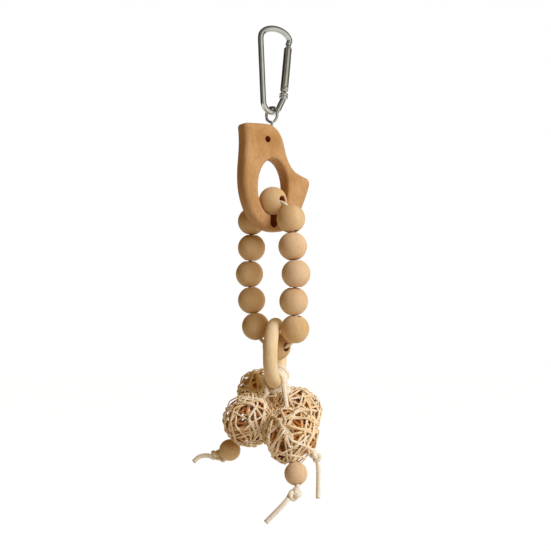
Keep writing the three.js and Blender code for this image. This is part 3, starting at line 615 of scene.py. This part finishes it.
def rattanBall(name, seed, joint):
    # Each strip joins corners on a sphere with straight chords: corner = R (cos a, sin a, sideways
    # step), scaled back to the sphere. A short running mean rounds the corners. Near the ball's
    # axis, distance becomes (distance^4 + open^4)^(1/4), which keeps the cord's way open. A flat
    # rounded section is carried along with its broad side facing out.
    rng = np.random.default_rng(seed)
    count, corners = ballWeave["outer"] + ballWeave["inner"], ballWeave["corners"]
    isOuter = np.arange(count) < ballWeave["outer"]
    normal = unit(rng.normal(size=(count, 3)))
    first = unit(np.cross(normal, unit(rng.normal(size=(count, 3)))))
    second = np.cross(normal, first)
    uneven, wander, lean = ballWeave["uneven"], ballWeave["wander"], ballWeave["lean"]
    shift = rng.uniform(-uneven, uneven, (count, corners))
    angle = (np.arange(corners) + shift) * 2 * math.pi / corners
    aside = rng.uniform(-wander, wander, (count, corners)) + rng.uniform(-lean, lean, (count, 1))
    cosine, sine = np.cos(angle)[..., None], np.sin(angle)[..., None]
    ray = unit(cosine * first[:, None] + sine * second[:, None]
               + aside[..., None] * normal[:, None])
    drop = np.where(isOuter, rng.uniform(*ballWeave["outerDrop"], count),
                    rng.uniform(*ballWeave["innerDrop"], count))
    outside = ballWeave["radius"] - ballWeave["thickness"] / 2
    corner = ray * (outside - drop)[:, None, None]
    share = (np.arange(ballWeave["steps"]) / ballWeave["steps"])[None, None, :, None]
    line = corner[:, :, None] * (1 - share) + np.roll(corner, -1, axis=1)[:, :, None] * share
    line = line.reshape(count, -1, 3)
    line = sum(np.roll(line, k, axis=1) for k in (-1, 0, 1)) / 3
    axial = np.hypot(line[..., 0], line[..., 1])
    opened = (axial ** 4 + ballWeave["open"] ** 4) ** 0.25 / np.maximum(axial, 0.01)
    line[..., :2] *= opened[..., None]
    line *= np.minimum(1, outside / np.linalg.norm(line, axis=-1))[..., None]
    tangent = unit(np.roll(line, -1, axis=1) - np.roll(line, 1, axis=1))
    wide = unit(np.cross(tangent, unit(line)))
    wide = unit(sum(np.roll(wide, k, axis=1) for k in (-2, -1, 0, 1, 2)))
    thick = np.cross(wide, tangent)
    width = rng.uniform(*ballWeave["width"], count)[:, None, None, None]
    turn = (np.arange(ballWeave["sides"]) + 0.5) * 2 * math.pi / ballWeave["sides"]
    sideways = np.sign(np.cos(turn)) * np.abs(np.cos(turn)) ** ballWeave["square"] / 2
    outwards = np.sign(np.sin(turn)) * np.abs(np.sin(turn)) ** ballWeave["square"] / 2
    grid = line[:, :, None] + width * sideways[:, None] * wide[:, :, None] \
        + ballWeave["thickness"] * outwards[:, None] * thick[:, :, None]
    # Deeper strips get darker tones: partly their own colour, partly painted shade inside the ball.
    tone = np.where(isOuter, rng.uniform(*ballWeave["outerTone"], count),
                    rng.uniform(*ballWeave["innerTone"], count))
    layers = np.broadcast_to(tone[:, None, None], grid.shape[:3])
    placedGrid = grid @ basisAlong(joint["axis"]).T * mm + np.array(joint["pos_m"])
    return gridPiece(name, placedGrid, rattanSkin, closedAlong=True, flip=True, layers=layers)


for seed, name in enumerate(hangers, ballWeave["firstSeed"]):
    ball = rattanBall(f"rattanBall_{name}", seed, joints[f"ball_{name}_spin"])
    stands(ball, f"ball_{name}", f"ball_{name}")
print("rattan balls made")


birdShape = {"thickness": 12, "edge": 3.3, "lip": 2.2, "yaw": math.radians(35), "topZ": -67.4,
             "footZ": -144.4, "tail": 31, "front": -27, "hole": (-2, -113.2, 12.9, 20.6),
             "eye": (-7.4, -79.2, 2.3), "seatFill": 1.8, "eyelet": (-2.693, -1.729), "around": 320,
             "faceRows": 12, "bendRows": 8}


def bezier(points, steps=24):
    # The sum of (n over k) t^k (1 - t)^(n - k) times each point.
    points = np.array(points, float)
    t = np.linspace(0, 1, steps, endpoint=False)[:, None]
    order = len(points) - 1
    return sum(math.comb(order, k) * t ** k * (1 - t) ** (order - k) * points[k]
               for k in range(order + 1))


boardYaw = birdShape["yaw"]
boardTurn = np.array([[math.cos(boardYaw), -math.sin(boardYaw), 0],
                      [math.sin(boardYaw), math.cos(boardYaw), 0], [0, 0, 1]])


def onBoard(points):
    # Points of the board, turned about the screw eye's upright line and carried there.
    return (points @ boardTurn.T + vec(*birdShape["eyelet"], 0)) * mm


def birdOutline(shape):
    # Clockwise from the beak's upper corner. Each row gives a stretch's points after its start.
    top, foot, tail, front = shape["topZ"], shape["footZ"], shape["tail"], shape["front"]
    corner = (front + 4.2, top - 1.5)
    stretches = [
        [(front + 12, top - 0.8), (front + 21, top - 0.6)],  # crown
        [(tail - 28, top - 1.4), (tail - 24.5, top - 8), (tail - 22.5, top - 16)],
        [(tail - 20.5, top - 24), (tail - 17.5, top - 30), (tail - 12.5, top - 33)],  # back
        [(tail - 8, top - 35.2), (tail - 3, top - 36.6)],
        [(tail - 0.3, top - 37.4), (tail + 0.6, top - 40), (tail - 0.6, top - 43.5)],  # tail tip
        [(tail - 4, top - 53), (tail - 8, top - 62), (tail - 13.5, foot + 7.5)],
        [(tail - 18.5, foot + 1.6), (tail - 24, foot), (tail - 30, foot)],
        [(front + 17, foot), (front + 8, foot + 6.5), (front + 3.2, foot + 19)],  # belly
        [(front - 0.3, foot + 28), (front - 0.8, foot + 38), (front + 0.5, foot + 50)],
        [(front + 1.4, foot + 60), (front + 1.6, foot + 65), (front + 0.7, top - 5)],
        [(front + 0.3, top - 1.7), corner],
    ]
    starts = [corner] + [stretch[-1] for stretch in stretches]
    return np.vstack([bezier([start] + stretch) for start, stretch in zip(starts, stretches)])


def inwards(line):
    # Unit directions into a clockwise closed outline, smoothed over a few neighbours.
    tangent = np.roll(line, -1, axis=0) - np.roll(line, 1, axis=0)
    side = np.stack([tangent[:, 1], -tangent[:, 0]], 1)
    side = sum(np.roll(side, k, axis=0) for k in range(-3, 4))
    return unit(side)


def birdGrid(shape):
    # Rows go round the board's section: out over the rounded outer edge, across a face to the
    # hole, round the hole's edge and back. Columns go round the bird.
    outer = resample(birdOutline(shape), 0.5, closed=True)
    step = np.linspace(0, len(outer), shape["around"], endpoint=False).astype(int)
    outer, inner = outer[step], inwards(outer)[step]
    x, z, wide, high = shape["hole"]
    angle = np.arctan2((outer[:, 1] - z) / high, (outer[:, 0] - x) / wide)
    hole = np.stack([x + wide * np.cos(angle), z + high * np.sin(angle)], 1)
    hole[:, 1] += shape["seatFill"] * np.clip(-np.sin(angle), 0, 1) ** 8
    holeOut = unit(np.stack([np.cos(angle) / wide, np.sin(angle) / high], 1))
    edge, lipEdge, half = shape["edge"], shape["lip"], shape["thickness"] / 2
    bend = np.linspace(0, math.pi / 2, shape["bendRows"])
    rows = []
    for face in (1, -1):
        rim = [(outer + inner * edge * (1 - math.cos(a)), half - edge * (1 - math.sin(a)))
               for a in bend]
        lip = [(hole + holeOut * lipEdge * (1 - math.cos(a)), half - lipEdge * (1 - math.sin(a)))
               for a in bend[::-1]]
        share = np.linspace(0, 1, shape["faceRows"])[1:-1]
        flat = [(rim[-1][0] * (1 - s) + lip[0][0] * s, half) for s in share]
        side = rim + flat + lip
        rows += [(p, face * y) for p, y in (side if face == 1 else side[::-1])]
    return onBoard(np.stack([
        np.column_stack([p[:, 0], np.full(len(p), -y), p[:, 1]]) for p, y in rows]))


tip = 0.02  # turned profiles stop this near their line in mm, under a tiny lid


def drillGrid(radius, foot, top, sides, centre, direction):
    profile = vec(tip, foot, radius, foot, radius, top, tip, top).reshape(4, 2)
    return turnedGrid(profile * mm, sides, centre, direction)


def notchGrid(notch):
    # The bottom of the hole runs down into a narrow rounded notch under the top bead.
    angle = np.linspace(0, math.pi, 14)
    x = notch["x"] - notch["half"] * np.cos(angle)
    z = notch["foot"] + notch["half"] * (1 - np.sin(angle))
    x, z = np.concatenate([x, x[[-1, 0]]]), np.concatenate([z, [notch["top"], notch["top"]]])
    return onBoard(np.stack([
        np.stack([x, 0 * x + aside, z], 1) for aside in (notch["reach"], -notch["reach"])]))


birdPiece = gridPiece("woodenBird", birdGrid(birdShape), birdWood, closedAlong=True)
drills = {"reach": 9, "eyeSides": 48, "screwRadius": 1.3, "screwDepth": 14.2, "screwAbove": 3,
          "screwSides": 32}
notch = {"x": -2.2, "top": -130, "foot": -141.4, "half": 3.1, "reach": 9}
eyeX, eyeZ, eyeRadius = birdShape["eye"]
eyeDrill = drillGrid(eyeRadius, -drills["reach"], drills["reach"], drills["eyeSides"],
                     onBoard(vec(eyeX, 0, eyeZ)), boardTurn @ vec(0, -1, 0))
screwDrill = drillGrid(drills["screwRadius"], -drills["screwDepth"], drills["screwAbove"],
                       drills["screwSides"], onBoard(vec(0, 0, birdShape["topZ"])), (0, 0, 1))
# The cut walls of the eye, the screw hole and the notch are painted dark red brown: painted shade.
cutAway(birdPiece, [gridPiece("drill", eyeDrill, paintedShadeHoleWood),
                    gridPiece("screwHole", screwDrill, paintedShadeHoleWood),
                    gridPiece("notch", notchGrid(notch), paintedShadeHoleWood)])
sharpen(birdPiece, 50)
stands(birdPiece, "bird", "wooden_bird")
print("bird made")


screwEye = {"wire": 2, "radius": 4.4, "half": 5.2, "centreZ": -60.2, "yaw": math.radians(-29.9),
            "shank": 17, "full": 0.85, "step": 0.35, "sides": 20}
screwThread = {"pitch": 0.9, "turns": 12, "radius": 0.92, "wire": 0.48, "below": 2.6, "perTurn": 24,
               "runOut": 1.2}


def screwEyeLine(eye):
    # A full oval, x = a |cos t|^0.85 and z = b |sin t|^0.85 with their signs, from beside its foot
    # almost all the way round, then a bend into the shank.
    angle = np.radians(np.linspace(-70, 262, 80))
    across = np.sign(np.cos(angle)) * np.abs(np.cos(angle)) ** eye["full"]
    rise = np.sign(np.sin(angle)) * np.abs(np.sin(angle)) ** eye["full"]
    foot = -eye["half"]
    bend = [(0.2, foot - 0.7), (0, foot - 1.8), (0, foot - eye["shank"] + 3.3)]
    flat = np.vstack([np.stack([eye["radius"] * across, eye["half"] * rise], 1), bend])
    sideways = vec(math.cos(eye["yaw"]), math.sin(eye["yaw"]), 0)
    middle = vec(*birdShape["eyelet"], eye["centreZ"])
    line = middle + flat[:, :1] * sideways + flat[:, 1:] * upward
    return smoothLine(line * mm, eye["step"] * mm)


def threadLine(thread):
    turn = np.linspace(0, thread["turns"] * 2 * math.pi, thread["turns"] * thread["perTurn"])
    fall = thread["pitch"] * turn / (2 * math.pi)
    top = vec(*birdShape["eyelet"], screwEye["centreZ"] - screwEye["half"] - thread["below"])
    return (top + np.stack([
        thread["radius"] * np.cos(turn), thread["radius"] * np.sin(turn), -fall], 1)) * mm


eyeGrid = tubeGrid(screwEyeLine(screwEye), screwEye["wire"] / 2 * mm, screwEye["sides"])
eyePiece = gridPiece("screwEye", eyeGrid, nickelPlate)
sharpen(eyePiece, 50)
stands(eyePiece, "bird", "screw_eye")
threadGrid = tubeGrid(threadLine(screwThread), screwThread["wire"] / 2 * mm, 6,
                      dome=screwThread["runOut"] * mm)
stands(gridPiece("screwThread", threadGrid, nickelPlate), "bird", "screw_eye")


snapHook = {"wire": 4.1, "halfWidth": 12.5, "topRise": 7.7, "bottomRadius": 7.15,
            "bottomShift": -3.2, "reach": 60.4, "yaw": math.radians(32.7), "pivot": (7.6, -40.0),
            "lean": math.radians(6.2), "gate": 5.7, "gateLength": 30.4, "tongue": 1.6,
            "slotGap": 0.3, "noseDepth": 6.2, "noseBar": 2.0, "noseBarLength": 3.6,
            "noseBarOut": 0.4, "collar": 6.3, "collarLength": 4.2, "rivet": 1.6, "rivetPast": 0.5}
hookAcross = vec(math.cos(snapHook["yaw"]), math.sin(snapHook["yaw"]), 0)
hookNormal = vec(-math.sin(snapHook["yaw"]), math.cos(snapHook["yaw"]), 0)
gateUp = hookAcross * math.sin(snapHook["lean"]) + upward * math.cos(snapHook["lean"])
gateOut = hookAcross * math.cos(snapHook["lean"]) - upward * math.sin(snapHook["lean"])
gatePivot = hookAcross * snapHook["pivot"][0] + upward * snapHook["pivot"][1]


def gatePlace(out, aside, rise):
    # A point in the gate's own directions: out from the hook, across its plane, up the gate.
    out, aside, rise = np.broadcast_arrays(*(np.asarray(v, float) for v in (out, aside, rise)))
    return (gatePivot + out[..., None] * gateOut + aside[..., None] * hookNormal
            + rise[..., None] * gateUp) * mm


def arc(x, z, wide, high, start, end, steps):
    angle = np.radians(np.linspace(start, end, steps))
    return np.stack([x + wide * np.cos(angle), z + high * np.sin(angle)], 1)


def hookLine(hook):
    # The wire's middle line in the hook's plane, its corners eased by a running mean.
    lean = vec(math.sin(hook["lean"]), math.cos(hook["lean"]))
    pivot = np.array(hook["pivot"])
    foot = pivot - lean * (hook["collarLength"] + hook["gate"] / 2)
    bottom = -hook["reach"] + hook["wire"] / 2 + hook["bottomRadius"]
    spring = hook["wire"] / 2 - hook["topRise"]
    tip = pivot + lean * (hook["gateLength"] + 2 * hook["slotGap"])
    tipAbove = pivot + lean * (hook["gateLength"] + hook["wire"])
    flat = np.vstack([
        foot, foot - vec(0.8, 1.8),
        arc(hook["bottomShift"], bottom, hook["bottomRadius"], hook["bottomRadius"], -14, -177, 60),
        (-hook["halfWidth"], spring - 2),
        arc(0, spring, hook["halfWidth"], hook["topRise"], 180, 0, 60), tipAbove, tip])
    even = resample(flat, 0.4)
    reach = 4
    padded = np.vstack([np.repeat(even[:1], reach, 0), even, np.repeat(even[-1:], reach, 0)])
    window = np.ones(2 * reach + 1) / (2 * reach + 1)
    eased = np.stack([np.convolve(padded[:, k], window, "valid") for k in (0, 1)], 1)
    eased[0], eased[-1] = even[0], even[-1]
    return (eased[:, :1] * hookAcross + eased[:, 1:] * upward) * mm


def box(name, out, aside, rise, material):
    # A block in the gate's own directions.
    corner = [(out[0], aside[0]), (out[1], aside[0]), (out[1], aside[1]), (out[0], aside[1])]
    grid = np.stack([np.stack([gatePlace(o, a, z) for o, a in corner]) for z in rise])
    return gridPiece(name, grid, material)


def gateTurned(profile, sides=40):
    # A profile turned about the gate's own line.
    profile = np.asarray(profile, float)
    angle = evenAngles(sides)
    return gatePlace(profile[:, :1] * np.cos(angle), profile[:, :1] * np.sin(angle), profile[:, 1:])


def crossPin(name, radius, half, rise=0, out=0, dome=0.2, sides=24):
    # A pin across the hook's plane whose ends are eased.
    inset = dome * vec(1, 0.3, 0, 0, 0.3, 1)
    aside = half * vec(-1, -1, -1, 1, 1, 1) + dome * vec(0, 0.3, 1, -1, -0.3, 0)
    size = (radius - inset)[:, None]
    angle = -evenAngles(sides)
    grid = gatePlace(out + size * np.cos(angle), aside[:, None], rise + size * np.sin(angle))
    return gridPiece(name, grid, nickelPlate)


wireGrid = tubeGrid(hookLine(snapHook), snapHook["wire"] / 2 * mm, 28, dome=0.5 * mm)
hookWire = gridPiece("hookWire", wireGrid, nickelPlate)
gateHalf = snapHook["gate"] / 2
collarTop = -gateHalf - 2 * snapHook["slotGap"]
collarFoot = collarTop - snapHook["collarLength"]
rim, neck, quarter = snapHook["collar"] / 2, snapHook["wire"] / 2, snapHook["collarLength"] / 4
collarProfile = roundedProfile([  # two steps with a groove between them
    (tip, collarFoot), (neck, collarFoot), (rim, collarFoot + quarter / 2),
    (rim, collarFoot + 1.6 * quarter), (rim - 0.55, collarFoot + 2 * quarter),
    (rim, collarFoot + 2.4 * quarter), (rim, collarTop - quarter / 2), (neck, collarTop),
    (tip, collarTop)])
hookCollar = gridPiece("hookCollar", gateTurned(collarProfile), nickelPlate)
tongueHalf = snapHook["tongue"] / 2
hookTongue = box("hookTongue", (-neck, neck), (-tongueHalf, tongueHalf), (collarTop - 1, 0),
                 nickelPlate)
tongueEye = crossPin("hookTongueEye", neck, tongueHalf, dome=0.15)
noseFoot = snapHook["gateLength"] - snapHook["noseDepth"]
hookNose = box("hookNose", (-0.8, neck), (-tongueHalf, tongueHalf),
               (noseFoot, snapHook["gateLength"] + 1.5), nickelPlate)
noseBar = crossPin("hookNoseBar", snapHook["noseBar"] / 2, snapHook["noseBarLength"] / 2,
                   noseFoot + snapHook["noseBar"] / 2, snapHook["noseBarOut"])
for piece in (hookWire, hookCollar, hookTongue, tongueEye, hookNose, noseBar):
    sharpen(piece, 40)
    stands(piece, "hook", "hook_body")

gateProfile = roundedProfile([
    (tip, -gateHalf), (gateHalf - 1.3, -gateHalf), (gateHalf, 1.3 - gateHalf),
    (gateHalf, snapHook["gateLength"] - 0.8), (gateHalf - 0.8, snapHook["gateLength"]),
    (tip, snapHook["gateLength"])], 6)
# The gate takes the darker copy of the nickel, painted shade.
hookGate = gridPiece("hookGate", gateTurned(gateProfile), gateNickelPaintedDim)
slot, wideOut = tongueHalf + snapHook["slotGap"], gateHalf + 1
slotFoot = noseFoot - 2.5 * snapHook["slotGap"]
forkTop, pocketTop = neck + 2 * snapHook["slotGap"], noseFoot + snapHook["noseBar"] + 0.3
cutAway(hookGate, [
    box("fork", (-wideOut, wideOut), (-slot, slot), (-wideOut, forkTop), nickelPlate),
    box("noseSlot", (-1.1, wideOut), (-slot, slot), (slotFoot, snapHook["gateLength"] + 1),
        nickelPlate),
    box("barPocket", (-0.9, wideOut), (-2.1, 2.1), (slotFoot, pocketTop), nickelPlate)])
sharpen(hookGate, 35)
stands(hookGate, "gate", "hook_gate")
rivetPiece = crossPin("hingeRivet", snapHook["rivet"] / 2, gateHalf + snapHook["rivetPast"])
sharpen(rivetPiece, 40)
stands(rivetPiece, "hook", "hinge_rivet")
headHeight = vec(0.32, 0.32, 0.5, 0.75, 0.9, 0.92)  # domed rivet head, from the gate's side out
headRadius = vec(tip, 1.25, 1.3, 1.05, 0.6, tip)[:, None]
for side, sign in (("Near", -1), ("Far", 1)):
    angle = -sign * evenAngles(28)
    aside = sign * (gateHalf + headHeight)[:, None]
    head = gatePlace(headRadius * np.cos(angle), aside, headRadius * np.sin(angle))
    headPiece = gridPiece(f"rivetHead{side}", head, nickelPlate)
    sharpen(headPiece, 40)
    stands(headPiece, "hook", "hinge_rivet")
print("snap hook made")

# The gate's own spring and plunger stay as the frame gives them, inside the gate.
for node in ("gate_spring", "gate_plunger"):
    frame["nodes"][node].data.materials.clear()
    frame["nodes"][node].data.materials.append(springWire)


stage = {"floorZ": -0.62, "size": 6.0, "paper": "#f2f2f0", "glow": 1.06, "glowShare": 0.93}
keyLamp = {"place": (0.77, -0.68, 0.46), "aim": (0, 0, -0.18), "size": 0.8, "watts": 15.7,
           "tone": "#e4ebff"}


def whiteBackdrop(name):
    # Matt white paper: pure white with soft shadows to the camera and in mirrors, plain to light.
    material, tree, shader = newFinish(name, Roughness=0.9, Base_Color=linear(stage["paper"]))
    path = addNode(tree, "ShaderNodeLightPath").outputs
    straight = calc(tree, "MAXIMUM", path["Is Camera Ray"], path["Is Glossy Ray"])
    through = calc(tree, "MAXIMUM", straight, path["Is Transmission Ray"])
    glow = addNode(tree, "ShaderNodeEmission", {"Color": (1, 1, 1, 1), "Strength": stage["glow"]})
    soft = addNode(tree, "ShaderNodeMixShader", {
        "Fac": stage["glowShare"], 1: shader.outputs["BSDF"], 2: glow.outputs["Emission"]})
    seen = addNode(tree, "ShaderNodeMixShader", {
        "Fac": through, 1: shader.outputs["BSDF"], 2: soft.outputs["Shader"]})
    tree.links.new(seen.outputs["Shader"], tree.nodes["Material Output"].inputs["Surface"])
    return material


floorHalf = stage["size"] / 2
floorSquare = floorHalf * np.array([(-1, -1), (1, -1), (1, 1), (-1, 1)])
floorMesh = bpy.data.meshes.new("floor")
floorMesh.from_pydata([(x, y, stage["floorZ"]) for x, y in floorSquare], [], [(0, 1, 2, 3)])
floorMesh.materials.append(whiteBackdrop("whitePaper"))
floorPiece = bpy.data.objects.new("floor", floorMesh)
bpy.context.scene.collection.objects.link(floorPiece)


def placeLamp(name, lamp):
    light = bpy.data.lights.new(name, "AREA")
    light.shape = "DISK"
    light.size = lamp["size"]
    light.energy = lamp["watts"]
    light.color = linear(lamp["tone"])[:3]
    lampObject = bpy.data.objects.new(name, light)
    lampObject.location = lamp["place"]
    lampObject.visible_glossy = False  # bare metal mirrors the room below instead
    aim = Vector(lamp["aim"]) - Vector(lamp["place"])
    lampObject.rotation_euler = aim.to_track_quat("-Z", "Y").to_euler()
    bpy.context.scene.collection.objects.link(lampObject)


placeLamp("keyLamp", keyLamp)

# Seen directly the room is white. Bare metal mirrors bands that are bright in front on the right
# and dark behind on the left. Everything else is lit by a warm, low room. Each tone is chosen by
# how far a ray runs along "toward", from 0 straight against it to 1 straight along it.
room = {
    "mirrored": {"toward": (0.66, -0.74, -0.1), "tones": [
        (0.0, "#77746d"), (0.15, "#24221d"), (0.42, "#3b3832"), (0.62, "#b4b2ab"),
        (0.76, "#56534b"), (0.87, "#a09d95"), (0.92, "#ffffff")]},
    "bounced": {"toward": (0.56, 0.8, 0.2), "tones": [
        (0.15, "#68470c"), (0.55, "#8d702c"), (0.95, "#f4dfa8")]},
}


def roomTones(tree, ray, side):
    both = {0: ray, 1: side["toward"]}
    along = addNode(tree, "ShaderNodeVectorMath", both, operation="DOT_PRODUCT")
    share = addNode(tree, "ShaderNodeMapRange", {
        "Value": along.outputs["Value"], "From Min": -1.0, "From Max": 1.0})
    return rampOf(tree, share.outputs["Result"], side["tones"])


def lightRoom(name):
    world = bpy.data.worlds.new(name)
    world.use_nodes = True
    bpy.context.scene.world = world
    tree = world.node_tree
    path = addNode(tree, "ShaderNodeLightPath").outputs
    ray = addNode(tree, "ShaderNodeTexCoord").outputs["Generated"]
    bounced = roomTones(tree, ray, room["bounced"])
    mirrored = roomTones(tree, ray, room["mirrored"])
    dim = tint(tree, path["Is Glossy Ray"], bounced, mirrored)
    seen = calc(tree, "MAXIMUM", path["Is Camera Ray"], path["Is Transmission Ray"])
    tree.links.new(tint(tree, seen, dim, (1, 1, 1, 1)), tree.nodes["Background"].inputs["Color"])


lightRoom("whiteRoom")
print("stage made")
